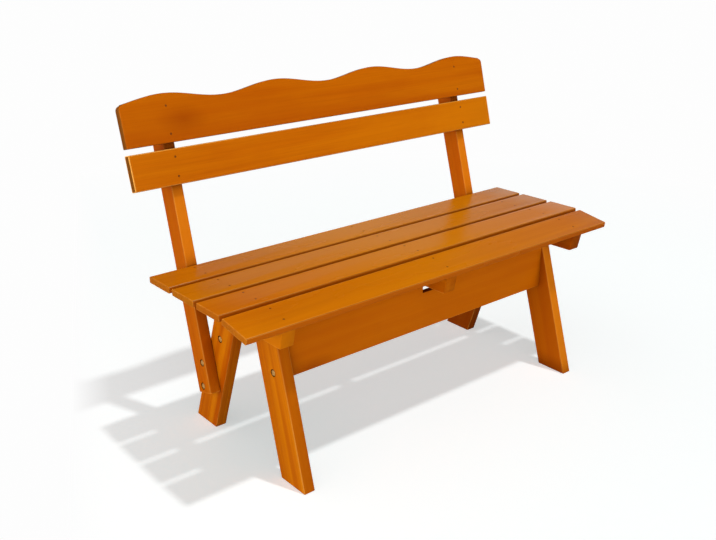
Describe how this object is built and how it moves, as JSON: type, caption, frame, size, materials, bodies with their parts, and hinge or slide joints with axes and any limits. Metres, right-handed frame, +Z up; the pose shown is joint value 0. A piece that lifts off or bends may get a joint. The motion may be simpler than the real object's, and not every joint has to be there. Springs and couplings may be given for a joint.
{
  "type": "wooden garden bench",
  "caption": "Stained softwood garden bench with splayed legs, a slatted seat on cleats, raked back posts and a wavy-topped back board.",
  "frame": {"origin": "on the floor, in the middle of the bench's outline seen from above", "axes": "+X along the bench to the right of someone who faces its front, -Y towards the front, +Z up"},
  "size_m": [1.2, 0.5982, 0.8299],
  "materials": {
    "stained_wood": "honey-orange stained softwood under a satin clear coat",
    "zinc_steel": "yellow zinc-plated steel",
    "nail_steel": "dull steel, stained brown with the wood"
  },
  "bodies": {
    "root": {"seat_board_front": "stained_wood", "seat_board_second": "stained_wood", "seat_board_third": "stained_wood", "seat_board_rear": "stained_wood", "cleat_left": "stained_wood", "cleat_middle": "stained_wood", "cleat_right": "stained_wood", "leg_front_left": "stained_wood", "leg_front_right": "stained_wood", "leg_rear_left": "stained_wood", "leg_rear_right": "stained_wood", "apron_front": "stained_wood", "apron_rear": "stained_wood", "post_left": "stained_wood", "post_right": "stained_wood", "back_board_lower": "stained_wood", "back_board_upper": "stained_wood", "seat_nails": "nail_steel", "back_nails": "nail_steel", "coach_screws": "zinc_steel", "post_bolts": "zinc_steel", "post_nuts": "zinc_steel", "washers": "zinc_steel", "cleat_screws": "zinc_steel"}
  },
  "joints": []
}
